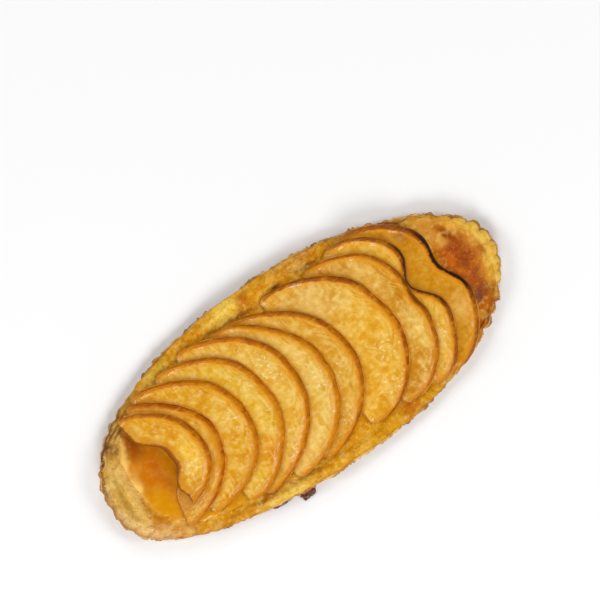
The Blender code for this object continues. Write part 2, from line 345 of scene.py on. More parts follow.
class Finish:
    def __init__(self, name, tree=None, source="Object"):
        if tree is None:
            self.material = bpy.data.materials.new(name)
            self.material.use_nodes = True
            tree = self.material.node_tree
            self.shader = tree.nodes["Principled BSDF"]
        self.tree = tree
        self.here = self.node("ShaderNodeTexCoord", {}, {}, source)

    def fill(self, socket, value):  # a link, a colour or a number into a socket
        if isinstance(value, Value):
            self.tree.links.new(value.socket, socket)
        elif socket.type == "RGBA":
            socket.default_value = (*value, 1.0)
        else:
            socket.default_value = value

    def node(self, kind, settings, sockets, out=0):  # any node: its settings, then its sockets
        made = self.tree.nodes.new(kind)
        for setting, value in settings.items():
            setattr(made, setting, value)
        for socket, value in sockets.items():
            self.fill(made.inputs[socket], value)
        return Value(self, made.outputs[out])

    def mark(self, name, out="Fac"):
        return self.node("ShaderNodeAttribute", {"attribute_name": name}, {}, out)

    def noise(self, size, detail=3.0, where=None):  # size is that of a lump, in metres
        sockets = {"Vector": where or self.here, "Scale": 1.0 / size, "Detail": detail}
        return self.node("ShaderNodeTexNoise", {}, sockets)

    def cracks(self, size):  # the distance to the edges of uneven cells
        wander = self.node("ShaderNodeTexNoise", {}, {"Vector": self.here, "Scale": 3.0 / size}, "Color")
        where = self.mix(0.5 * size, self.here, wander, "ADD")
        sockets = {"Vector": where, "Scale": 1.0 / size}
        return self.node("ShaderNodeTexVoronoi", {"feature": "DISTANCE_TO_EDGE"}, sockets, "Distance")

    def stretched(self, vector, scale):
        return self.node("ShaderNodeVectorMath", {"operation": "MULTIPLY"}, {0: vector, 1: scale})

    def step(self, value, low, high):  # eased from 0 at low to 1 at high
        sockets = {"Value": value, "From Min": low, "From Max": high}
        return self.node("ShaderNodeMapRange", {"interpolation_type": "SMOOTHSTEP"}, sockets)

    def mix(self, share, first, second, blend="MIX"):
        settings = {"data_type": "RGBA", "blend_type": blend}
        return self.node("ShaderNodeMix", settings, {0: share, 6: first, 7: second}, 2)

    def layered(self, colour, *layers):
        # Each layer is a pattern, where it begins and is full, its share and a colour. A colour in
        # picture values covers what is there. One in shares is multiplied with it.
        for pattern, low, high, share, tint in layers:
            share = self.step(pattern, low, high) * share
            if max(tint) > 1:
                colour = self.mix(share, colour, paint(*tint))
            else:
                colour = self.mix(share, colour, tint, "MULTIPLY")
        return colour

    def bump(self, height, distance):
        sockets = {"Strength": 1.0, "Distance": distance, "Height": height}
        return self.node("ShaderNodeBump", {}, sockets, "Normal")

    def baked(self):  # the mottled top of crust and compote
        mottle, fleck = self.noise(0.0055, 4.0), self.noise(0.0021, 3.0)
        return self.layered(
            self.mark("baked", "Vector"),
            (mottle, 0.47, 0.66, 0.70, (0.87, 0.72, 0.36)),
            (mottle, 0.50, 0.34, 0.30, (242, 204, 104)),
            (fleck, 0.49, 0.66, 0.50, (0.86, 0.72, 0.38)),
            (fleck, 0.48, 0.34, 0.28, (246, 212, 122)),
            (self.noise(0.0013, 2.0), 0.66, 0.72, 0.50, (0.70, 0.52, 0.26)),
        )

    def done(self, **sockets):
        for socket, value in sockets.items():
            self.fill(self.shader.inputs[socket.replace("_", " ")], value)
        return self.material


# The crust: one closed skin from the middle of the underside, up the flaky wall, over the rim
# and down into the recess that holds the compote.
crust = {
    "flutes": 70,
    "pointsPerFlute": 12,
    "fluteDepth": {"right": 0.0011, "left": 0.0006, "sides": 0.00008},
    "foot": 0.00003,  # just off the floor
    "footInset": 0.0016,
    "lipRound": 0.0009,
    "lipShare": 0.88,
    "leaves": 3,
    "leafDepth": 0.0008,
    "layers": 11,  # fine leaves of pastry in the wall
    "layerDepth": 0.0005,
    "wallRows": 40,
    "rimRows": 44,
    "undersideRows": 26,
    "hollows": 0.00028,  # in the underside
    "ragged": 0.00034,
    "blisters": 0.00030,
    "ledges": 0.00011,  # leaf ends on the rim, one after another towards the edge
    "pillows": 0.0005,  # each flute puffs up at the ends of the tart
    "ledgesFrom": 0.52,  # the share of the way out where they start
    "ledgesPerRim": 11.0,
    "foldDepth": 0.0008,  # a crease runs round the puffed left end, and a ridge inside it
    "ridgeHeight": 0.0004,
    "foldOut": 0.50,
    "pageHeight": 0.0004,
    "pageWaves": 24.0,
    # degrees round the crust: where the fold is, where leaves stand up like pages and where the
    # outer edge is dark brown, and how far each goes
    "foldAt": (181.0, 24.0),
    "flakyAt": (146.0, 11.0),
    "singedAt": (154.0, 17.0),
}


def lobeAt(angle):  # 0 in a notch between two flutes, 1 on a flute
    fine, run = outlineRun()
    share = np.interp(angle % (2.0 * math.pi), fine, run / run[-1])
    return np.abs(np.sin(share * crust["flutes"] * math.pi))


def nearDegrees(angle, middle, reach):  # a bell round a place on the crust, both in degrees
    return bell((np.degrees(angle) - middle) / reach)


def endShares(angle):  # how much a place belongs to the right end and to the left one
    return smoothStep((np.cos(angle) - 0.5) / 0.35), smoothStep((-np.cos(angle) - 0.5) / 0.35)


def fluteMove(angle):  # how far the fluted edge stands out from the outline
    right, left = endShares(angle)
    x, y = outline(angle)
    depth = crust["fluteDepth"]
    deep = depth["sides"] + (depth["right"] - depth["sides"]) * right
    deep = deep + (depth["left"] - depth["sides"]) * left
    deep = deep * (1.0 + 0.4 * lumps(x, y, 0.0, 0.009, 2))
    ragged = lumps(x, y, 0.0, 0.0060, 7) + 0.5 * lumps(x, y, 0.0, 0.0017, 8)
    return deep * (lobeAt(angle) - 0.6) + crust["ragged"] * ragged


def wallInset(angle, up):  # the wall leans in at its foot, and is undercut between its thick leaves
    x, y = outline(angle)
    wander = 0.3 * lumps(x, y, 0.0, 0.012, 3)
    leaf = (0.5 - 0.5 * np.cos(2.0 * math.pi * (up * crust["leaves"] - 0.45 + wander))) ** 3
    leaf = leaf * smoothStep(up / 0.12) * smoothStep((1.0 - up) / 0.15)
    return crust["footInset"] * (1.0 - up) ** 2 + crust["leafDepth"] * leaf


def crustSkin():
    # Foot and wall: the outline, pushed in at the foot and between leaves. Rim: shares of the
    # outline from the edge in to the compote, at the rim's height with folds and blisters.
    angle = evenAngles(crust["flutes"] * crust["pointsPerFlute"])[None, :]
    edgeX, edgeY = outline(angle)
    outX, outY = outward(angle)
    right, left = endShares(angle)
    lobe, flute = lobeAt(angle), fluteMove(angle)
    lip = crustTop(angle, 1.0) - crust["lipRound"]
    inner = compoteShare(angle)

    up = np.linspace(0.0, 1.0, crust["wallRows"])[:, None]
    fine = up * crust["layers"] + 1.3 * lumps(edgeX, edgeY, 0.0, 0.017, 4)
    fine = fine + 0.5 * lumps(edgeX, edgeY, up * 0.01, 0.006, 24)
    layer = np.floor(fine)
    apart = layer * 0.02  # so far apart in the noise that each layer is uneven in its own way
    jut = lumps(edgeX, edgeY, apart, 0.0045, 5) + 0.6 * lumps(edgeX, edgeY, apart, 0.0014, 6)
    gaping = np.clip(1.6 * lumps(edgeX, edgeY, apart, 0.011, 9), 0.0, 1.0)
    groove = (2.0 * np.abs(fine - layer - 0.5)) ** 3 * (0.5 + 1.3 * gaping)
    sheer = smoothStep(up / 0.08) * smoothStep((1.0 - up) / 0.08)
    move = flute * (0.4 + 0.6 * smoothStep(up / 0.2)) - wallInset(angle, up)
    move = move + crust["layerDepth"] * (0.55 * jut - 0.8 * groove) * sheer
    wallX, wallY, wallZ = edgeX + outX * move, edgeY + outY * move, lip * up

    out = np.linspace(1.0, 0.0, crust["rimRows"] + 1)[1:, None] ** 1.15
    share = inner + (1.0 - inner) * out
    rimX, rimY = edgeX * share + outX * flute * out**2, edgeY * share + outY * flute * out**2
    turned = np.clip((out - crust["lipShare"]) / (1.0 - crust["lipShare"]), 0.0, 1.0)
    rimZ = crustTop(angle, out) - crust["lipRound"] * (1.0 - np.sqrt(1.0 - turned**2))
    relief = crust["blisters"] * roughness(rimX, rimY, 0.0, 0.0048, 11, 4)
    steps = (out - crust["ledgesFrom"]) * crust["ledgesPerRim"]
    steps = steps + 1.5 * lumps(rimX, rimY, 0.0, 0.009, 25)
    steps = np.maximum(steps + 0.6 * lumps(rimX, rimY, 0.0, 0.0026, 26), 0.0)
    ledge = np.clip((steps % 1.0 - 0.72) / 0.28, 0.0, 1.0)
    relief = relief - crust["ledges"] * (np.floor(steps) + ledge)
    outer = smoothStep((out - 0.35) / 0.45)
    relief = relief + crust["pillows"] * (lobe - 0.55) * outer * (0.1 + 0.9 * right + 0.6 * left)
    fromFold = out - crust["foldOut"] - 0.13 * lumps(rimX, rimY, 0.0, 0.012, 17)
    atFold = nearDegrees(angle, *crust["foldAt"])
    fold, ridge = bell(fromFold / 0.09) * atFold, bell((fromFold + 0.27) / 0.13) * atFold
    flaky = nearDegrees(angle, *crust["flakyAt"]) * smoothStep((out - 0.1) / 0.3)
    flaky = flaky * np.clip(0.7 + 0.8 * lumps(rimX, rimY, 0.0, 0.005, 19), 0.0, 1.0)
    page = np.sin(out * crust["pageWaves"] + 3.2 * lumps(rimX, rimY, 0.0, 0.009, 18))
    relief = relief - crust["foldDepth"] * fold + crust["ridgeHeight"] * ridge
    relief = relief + crust["pageHeight"] * page * flaky
    rimZ = rimZ + relief * smoothStep((1.0 - turned) / 0.6) * smoothStep(out / 0.12)

    singed = nearDegrees(angle, *crust["singedAt"]) + 0.25 * left
    singed = singed * smoothStep((out - 0.81 + 0.10 * lumps(rimX, rimY, 0.0, 0.003, 20)) / 0.11)

    floorShare = np.array([0.995, 0.6, 0.2])[:, None] * inner
    floorX, floorY = edgeX * floorShare, edgeY * floorShare
    floorZ = np.full_like(floorX, tart["recessFloor"])

    back = np.linspace(0.04, 1.0, crust["undersideRows"])[:-1, None]
    underX, underY = wallX[:1] * back, wallY[:1] * back
    hollow = crust["hollows"] * np.clip(roughness(underX, underY, 0.0, 0.006, 21) + 0.2, 0.0, 1.0)
    underZ = crust["foot"] + hollow * smoothStep((1.0 - back) / 0.08)

    def stacked(under, wall, rim, floor):  # the four stretches of the skin, one above another
        return np.concatenate([part + 0.0 * rows for part, rows in
                               ((under, underX), (wall, wallX), (rim, rimX), (floor, floorX))])

    x, y, z = (stacked(underX, wallX, rimX, floorX), stacked(underY, wallY, rimY, floorY),
               stacked(underZ, wallZ, rimZ, floorZ))
    marks = {
        "height": stacked(-0.1, up, 1.0, 1.0),
        "outwards": stacked(1.0, 1.0, out, 0.0),
        "layers": stacked(0.0, fine, 0.0, 0.0),
        "lobe": stacked(1.0, lobe, lobe, 1.0),
        "ends": stacked(0.0, right + 0.6 * left, right + 0.6 * left, 0.0),
        "page": stacked(0.0, 0.0, (0.5 - 0.5 * page) * flaky, 0.0),
        "fold": stacked(0.0, 0.0, fold, 0.0),
        "ledge": stacked(0.0, 0.0, ledge * (steps > 0.0), 0.0),
        "singed": stacked(0.0, 0.5 * singed[:1], singed, 0.0),
        "baked": zoned(x, y, topColours["colour"], topColours["zones"], topColours["seed"]),
    }
    return surface("crust_baked", x, y, z, marks)


def crustFinish():
    made = Finish("bakedPastry")
    height, outwards, ends = made.mark("height"), made.mark("outwards"), made.mark("ends")
    mottle, fleck, grain = made.noise(0.0060, 4.0), made.noise(0.0022, 3.0), made.noise(0.0009, 3.0)
    # dark between leaves that stand up like pages, in the crease in the puffed end and in the notches
    # between flutes: painted shade; and the browned outer edge
    notch = made.step(made.mark("lobe"), 0.40, 0.0) * ends
    rim = made.step(outwards, 0.86, 1.0) * made.step(height, 0.80, 0.98) * (0.2 + 0.8 * ends)
    colour = made.mix(made.mark("page") * 0.85, made.baked(), paint(116, 66, 24))
    colour = made.layered(
        made.mix(made.mark("fold") * 0.60, colour, paint(158, 112, 20)),
        (mottle, 0.40, 0.60, made.mark("ledge") * 0.50, (166, 104, 26)),
        (outwards, 0.50, 0.95, notch * 0.45, (168, 110, 30)),
        (mottle, 0.30, 0.62, rim * 0.80, (140, 86, 32)),
        (grain, 0.30, 0.55, made.mark("singed") * 0.85, (104, 62, 34)),
    )
    # the wall: pale leaves with browned edges, palest half way up
    layers = made.node("ShaderNodeMath", {"operation": "FRACT"}, {0: made.mark("layers")})
    edge = made.step(layers, 0.10, 0.45) * made.step(layers, 0.95, 0.60)
    pale = made.step(height, 0.05, 0.40) * made.step(height, 0.98, 0.70)
    wall = made.layered(
        made.mix(edge * (0.35 + 0.60 * pale), paint(164, 98, 36), paint(238, 200, 132)),
        (mottle, 0.44, 0.66, 0.70, (0.80, 0.60, 0.38)),
        (fleck, 0.50, 0.68, 0.50, (0.76, 0.60, 0.42)),
    )
    bottom = made.layered(
        paint(184, 124, 58),
        (mottle, 0.40, 0.62, 1.00, (134, 80, 32)),
        (fleck, 0.48, 0.66, 0.60, (0.62, 0.48, 0.36)),
    )
    colour = made.mix(made.step(height, 0.99, 0.93), colour, wall)
    colour = made.mix(made.step(height, 0.10, -0.02), colour, bottom)
    # thin flakes that lift at their edges, and cracks in the glaze
    flake = made.step(made.noise(0.0036, 5.0), 0.48, 0.52)
    crack = made.step(made.cracks(0.0062), 0.045, 0.0) * made.step(fleck, 0.48, 0.60)
    crack = crack * made.step(height, 0.99, 1.0)
    colour = made.mix(crack * 0.38, colour, paint(150, 92, 30))
    high = made.noise(0.0005, 2.0) * 0.25 + grain * 0.60 + fleck * 0.45 + flake * 0.32 - crack * 0.22
    return made.done(
        Base_Color=colour,
        Roughness=0.66 - 0.22 * made.step(mottle, 0.42, 0.6),
        Normal=made.bump(high, 0.00050),
        Coat_Weight=0.25 * made.step(height, 0.9, 1.0) * made.step(mottle, 0.58, 0.42),
        Coat_Roughness=0.2,
        Specular_IOR_Level=0.1,
    )


place(crustSkin(), crustFinish(), "pastry", "crust")
print("crust made")


# Thin leaves of pastry that stand out of the wall, and a few loose flakes on the rim.
leaves = {
    "count": 210,
    "rows": 40,
    "length": (0.005, 0.030),
    "jut": (0.0004, 0.0015),
    "halfThickness": 0.00009,
    "buried": 0.0008,
    "curl": 0.0006,
    "foot": 0.0001,  # the lowest that one may hang
    "seed": 11,
}


def pastryLeaves():
    # Each is a thin strip carried along the wall at one height. Its free edge is ragged, curls
    # up or down, and fades out at both ends.
    draw = np.random.default_rng(leaves["seed"])
    count = leaves["count"]
    middle = draw.choice(evenAngles(2000), count)[:, None, None]
    span = draw.uniform(*leaves["length"], count)[:, None, None] / 2.0
    up = draw.uniform(0.08, 0.97, count)[:, None, None]
    jut = draw.uniform(*leaves["jut"], count)[:, None, None]
    curl = draw.uniform(-0.6, 1.0, count)[:, None, None] * leaves["curl"]
    along = np.linspace(-1.0, 1.0, leaves["rows"])[None, :, None]
    speed = np.hypot(tart["halfLength"] * np.sin(middle), tart["halfWidth"] * np.cos(middle))
    angle = middle + along * span / speed
    edgeX, edgeY = outline(angle)
    outX, outY = outward(angle)
    lip = crustTop(angle, 1.0) - crust["lipRound"]
    rise = up + 0.05 * lumps(edgeX, edgeY, up, 0.007, 501)
    start = fluteMove(angle) - wallInset(angle, np.clip(rise, 0.0, 1.0))
    ragged = 0.75 + 0.6 * lumps(edgeX, edgeY, up * 3.0, 0.0022, 502)
    ragged = ragged + 0.4 * lumps(edgeX, edgeY, up, 0.0007, 503)
    free = jut * ragged * np.clip(1.0 - along**2, 0.0, 1.0) ** 0.5
    # the strip's outline: in under the wall, out to the free edge and back above
    outShare = np.array([0.0, 0.8, 1.0, 0.8, 0.0])[None, None, :]
    side = np.array([-1.0, -0.7, 0.0, 0.7, 1.0])[None, None, :]
    reach = (free + leaves["buried"]) * outShare - leaves["buried"]
    move = start + reach
    x, y = edgeX + outX * move, edgeY + outY * move
    z = lip * rise + side * leaves["halfThickness"] + curl * np.maximum(reach / jut, 0.0) ** 2
    z = np.maximum(z, leaves["foot"])
    return surface("pastry_leaves", x, y, z, {"free": np.maximum(reach / jut, 0.0) + 0.0 * x})


def leafFinish():
    made = Finish("flakyLeaves")
    mottle, grain = made.noise(0.0050, 3.0), made.noise(0.0010, 3.0)
    colour = made.layered(
        paint(236, 196, 126),
        (mottle, 0.38, 0.62, 1.00, (200, 138, 58)),
        (made.mark("free"), 0.50, 1.00, 0.70, (156, 94, 36)),
        (grain, 0.50, 0.70, 0.40, (150, 92, 40)),
    )
    return made.done(
        Base_Color=colour, Roughness=0.6, Normal=made.bump(grain, 0.0002), Specular_IOR_Level=0.3)


place(pastryLeaves(), leafFinish(), "pastry")
print("pastry leaves made")


# The apple slices: half rounds, cut across a cored half apple, from the top one to the lowest.
slices = {
    "thickness": 0.0023,
    "peelSlant": 0.0018,
    "taper": 0.0150,  # a slice is half as thick on its straight edge, and full half this far in
    "tipAngle": math.radians(84),
    "tipShare": 0.93,  # how far towards the tips the straight edge goes
    # two more loops past each tip: how far past it, and how much of its size they keep
    "tipLoops": ((0.0004, 0.85), (0.0007, 0.45)),
    "coreDepth": 0.0078,
    "coreHalfWidth": 0.0102,
    "coreSquareness": 3.5,
    "paredFrom": -0.005,  # y where the top slice begins to be pared, and over how much
    "paredOver": 0.010,
    "rows": 300,
    "topColumns": 46,
    "wallColumns": 10,
    "backColumns": 10,
    "coreColumns": 3,
    "dish": 0.00030,  # how far the flesh sinks inside its edge
    "curl": 0.00026,  # how far the edge curls up
    "waves": 0.00024,
    "dapples": 0.00010,
    "wrinkles": 0.00007,  # they run along the edge, near it
    "outlineWaves": 0.00040,
    "backWaves": 0.0003,  # along the straight edge
    "shrivel": (0.00016, 0.00018),  # fine and coarse dents in the peel
    "tipThickness": 0.62,
    "beads": 0.00012,
    # where the glaze stands in beads that catch the light, with painted glints on them: middle and spread
    "glazeBeadsAndGlints": (
        (-0.0318, 0.0010, 0.0060), (-0.0210, 0.0120, 0.0050), (0.0060, -0.0060, 0.0060),
        (0.0140, -0.0070, 0.0040), (0.0350, -0.0110, 0.0060), (0.0265, -0.0250, 0.0050),
        (-0.0170, -0.0210, 0.0060), (0.0020, -0.0240, 0.0060), (0.0500, -0.0080, 0.0050),
        (0.0560, -0.0200, 0.0060), (-0.0560, -0.0050, 0.0050), (-0.0090, 0.0100, 0.0070),
    ),
    # apex and edge: x of the round and the straight edge, half way along the slice. mid and half:
    # its middle and half its length across the tart. lean and bow: of the straight edge. point:
    # the round edge's power. swell: how much fuller that is towards the upper and the lower tip.
    # Extras: lower, lowerTip, pared: the lower half is shorter, ends earlier and is cut away
    # inside. dent: depth, middle and spread.
    "columns": ("apex", "edge", "mid", "half", "lean", "bow", "point", "swell"),
    "places": (
        (-0.0470, -0.0695, 0.0025, 0.0250, -0.0010, 0.0020, 1.5, (0.0010, 0.0020)),
        (-0.0402, -0.0670, 0.0020, 0.0275, 0.0030, 0.0025, 1.5, (-0.0018, 0.0024)),
        (-0.0260, -0.0595, 0.0025, 0.0295, -0.0010, 0.0025, 1.25, (0.0016, 0.0026)),
        (-0.0135, -0.0465, 0.0010, 0.0325, -0.0020, 0.0015, 1.1, (0.0031, -0.0013)),
        (-0.0005, -0.0370, 0.0015, 0.0345, 0.0010, 0.0015, 1.15, (0.0011, 0.0007)),
        (0.0120, -0.0220, -0.0005, 0.0345, 0.0015, 0.0015, 1.1, (-0.0024, 0.0015)),
        (0.0235, -0.0140, -0.0005, 0.0345, -0.0035, 0.0015, 1.1, (0.0016, -0.0006)),
        (0.0448, 0.0085, 0.0000, 0.0350, -0.0050, 0.0010, 1.0, (0.0036, -0.0014)),
        (0.0575, 0.0265, -0.0010, 0.0345, -0.0025, 0.0010, 0.9, (0.0028, -0.0006)),
        (0.0665, 0.0380, 0.0000, 0.0355, -0.0030, 0.0010, 0.75, (0.0008, -0.0020)),
        (0.0775, 0.0465, 0.0005, 0.0360, -0.0040, 0.0010, 0.95, (0.0015, -0.0006)),
    ),
    "extras": {
        0: {"lower": 0.86, "lowerTip": 0.90, "pared": 0.0050},
        8: {"dent": (0.0015, -0.0010, 0.0060)},
        9: {"dent": (0.0090, 0.0040, 0.0090)},
        10: {"dent": (0.0055, 0.0045, 0.0090)},
    },
    # flesh and peel: their colours. pale: how strong the pale mottling is. dark and band: how much painted
    # shade darkens the peel of the upper half, and how much wider it makes the peel's band. burnt: a dark
    # line on the peel round y "at", "half" as far each way, starting "from" so far down.
    "looks": (
        {"flesh": paint(220, 159, 26), "peel": paint(194, 116, 6), "band": 0.4, "zones": (
            zone(-0.0560, -0.0120, 0.0050, 0.0060, (216, 152, 16)),
            zone(-0.0545, -0.0010, 0.0045, 0.0090, (240, 188, 60)),
            zone(-0.0650, -0.0160, 0.0020, 0.0020, (216, 124, 12)))},
        {"flesh": paint(216, 158, 36), "peel": paint(192, 108, 4), "dark": 0.30, "zones": (
            zone(-0.0440, 0.0130, 0.0040, 0.0050, (200, 120, 10)),
            zone(-0.0490, 0.0200, 0.0050, 0.0050, (238, 190, 84)))},
        {"flesh": paint(221, 161, 26), "peel": paint(204, 122, 4), "zones": (
            zone(-0.0330, 0.0030, 0.0060, 0.0100, (226, 170, 44)),)},
        {"flesh": paint(225, 179, 50), "peel": paint(206, 126, 4), "zones": (
            zone(-0.0270, -0.0180, 0.0080, 0.0080, (222, 154, 28)),)},
        {"flesh": paint(227, 178, 66), "peel": paint(198, 116, 4)},
        {"flesh": paint(231, 190, 94), "peel": paint(206, 130, 8), "band": 0.0, "dark": 0.0},
        {"flesh": paint(218, 163, 52), "peel": paint(188, 114, 12), "dark": 0.25, "zones": (
            zone(0.0160, 0.0180, 0.0040, 0.0140, (220, 160, 60)),)},
        {"flesh": paint(228, 172, 44), "peel": paint(174, 98, 12), "dark": 0.30, "zones": (
            zone(0.0180, 0.0210, 0.0180, 0.0140, (222, 174, 86)),
            zone(0.0200, -0.0250, 0.0140, 0.0060, (228, 168, 28)))},
        {"flesh": paint(202, 140, 22), "peel": paint(184, 106, 10), "band": 0.0, "dark": 0.0,
         "burnt": {"at": 0.0010, "half": 0.0110, "from": 0.30, "colour": (126, 56, 4), "amount": 0.7},
         "zones": (
            zone(0.0500, -0.0140, 0.0050, 0.0120, (226, 182, 84)),
            zone(0.0450, 0.0180, 0.0070, 0.0120, (224, 174, 80)))},
        {"flesh": paint(226, 176, 52), "peel": paint(168, 94, 12), "band": 0.3,
         "burnt": {"at": 0.0050, "half": 0.0200, "from": 0.38, "colour": (74, 26, 12), "amount": 0.85},
         "zones": (
            zone(0.0580, 0.0030, 0.0070, 0.0070, (198, 130, 20)),
            zone(0.0570, -0.0200, 0.0070, 0.0080, (240, 198, 98)))},
        {"flesh": paint(204, 138, 0), "peel": paint(168, 92, 10), "pale": 0.3, "band": 0.5, "dark": 0.3,
         "burnt": {"at": 0.0045, "half": 0.0205, "from": 0.16, "colour": (36, 24, 22), "amount": 0.95},
         "zones": (
            zone(0.0600, 0.0230, 0.0080, 0.0090, (196, 132, 14)),
            zone(0.0660, 0.0240, 0.0035, 0.0040, (140, 70, 18)),
            zone(0.0700, -0.0180, 0.0060, 0.0100, (224, 172, 82)))},
    ),
}
places = [dict(zip(slices["columns"], row), **slices["extras"].get(number, {}))
          for number, row in enumerate(slices["places"])]


def sideShare(piece, y):  # -1 at the lower tip, 1 at the upper one; a lower half may be shorter
    return (y - piece["mid"]) / (piece["half"] * np.where(y < piece["mid"], piece.get("lower", 1.0), 1.0))


def sideY(piece, share):  # the y of such a share
    return piece["mid"] + piece["half"] * share * np.where(share < 0.0, piece.get("lower", 1.0), 1.0)


def straightEdge(piece, y):  # a leaning, bowed line across the tart
    across = np.clip((y - piece["mid"]) / piece["half"], -1.05, 1.05)
    return piece["edge"] + piece["lean"] * across - piece["bow"] * across**2


def backEdge(piece, y):  # the straight edge, with the half round hollow that the core left
    core = bell((y - piece["mid"]) / slices["coreHalfWidth"], slices["coreSquareness"])
    pared = smoothStep((slices["paredFrom"] - y) / slices["paredOver"])
    return straightEdge(piece, y) + slices["coreDepth"] * core + piece.get("pared", 0.0) * pared


def roundEdge(piece, turn):
    # A sine across and a power of the cosine along, fuller or slimmer half way to each tip, less
    # the dent.
    y = sideY(piece, np.sin(turn))
    reach = np.maximum(np.cos(turn), 0.0) ** piece["point"]
    x = piece["edge"] + piece["lean"] * np.sin(turn) + (piece["apex"] - piece["edge"]) * reach
    upper, lower = piece["swell"]
    x = x + np.where(turn > 0.0, upper, lower) * np.sin(2.0 * turn) ** 2
    if "dent" in piece:
        depth, at, width = piece["dent"]
        x = x - depth * bell((y - at) / width)
    return x, y


def fullShare(piece, x, y):  # half its thickness on its straight edge, all well inside
    return smoothStep(0.5 + (x - straightEdge(piece, y)) / slices["taper"])


def sliceUnderside(number, x, y):  # climbs by a thickness and a clearance over each slice below
    height = restingHeight(x, y) + tart["clearance"]
    for below in places[number + 1 :]:
        height = height + (slices["thickness"] + tart["clearance"]) * fullShare(below, x, y)
    return height


def sliceThickness(number, x, y):  # whole for the top slice, else what its climb leaves free
    if number == 0:
        return slices["thickness"] + 0.0 * x
    full = (slices["thickness"] + tart["clearance"]) * fullShare(places[number], x, y)
    return full - tart["clearance"]


def beyondUpper(number, x, y):  # how far outside the round edge of the slice above a point lies
    if number == 0:
        return np.full(x.shape, 0.02)
    upper = places[number - 1]
    turn = np.linspace(-1.0, 1.0, 320) * slices["tipAngle"]
    curveX, curveY = roundEdge(upper, turn)
    side = np.clip(sideShare(upper, y), -1.0, 1.0)
    edgeX, edgeY = roundEdge(upper, np.arcsin(side))
    inside = (x < edgeX) & (np.abs(side) < 1.0)
    return nearest(x, y, curveX, curveY) * np.where(inside, -1.0, 1.0)


# the same share says where glints are painted on the beads
def beadAndGlintShare(x, y):  # how thick the beads of glaze stand: the strongest of their zones
    share = 0.0
    for atX, atY, spread in slices["glazeBeadsAndGlints"]:
        share = np.maximum(share, ovalShare(x, y, zone(atX, atY, spread, spread)))
    return share


def sliceRelief(number, x, y, fromPeel, arc, bare):
    # Low waves, dapples, a dish inside the edge, wrinkles along the edge, and the edge's curl.
    waves = slices["waves"] * roughness(x, y, 0.0, 0.0095, 40 + number)
    dapples = slices["dapples"] * roughness(x, y, 0.0, 0.0027, 50 + number, 2)
    dish = -slices["dish"] * smoothStep(fromPeel / 0.0022) * smoothStep((0.009 - fromPeel) / 0.005)
    wrinkles = slices["wrinkles"] * roughness(arc / 7.0, fromPeel, 0.0, 0.0013, 70 + number, 2)
    wrinkles = wrinkles * smoothStep((0.009 - fromPeel) / 0.006) * smoothStep(fromPeel / 0.0004)
    unevenCurl = 0.6 + 0.9 * lumps(x, y, 0.0, 0.007, 60 + number)
    curl = slices["curl"] * bell(fromPeel / 0.0012) * unevenCurl
    beads = slices["beads"] * beadAndGlintShare(x, y) * smoothStep(lumps(x, y, 0.0, 0.0016, 75) * 2.0 - 0.3)
    return (waves + dapples + dish + wrinkles + beads) * bare + curl


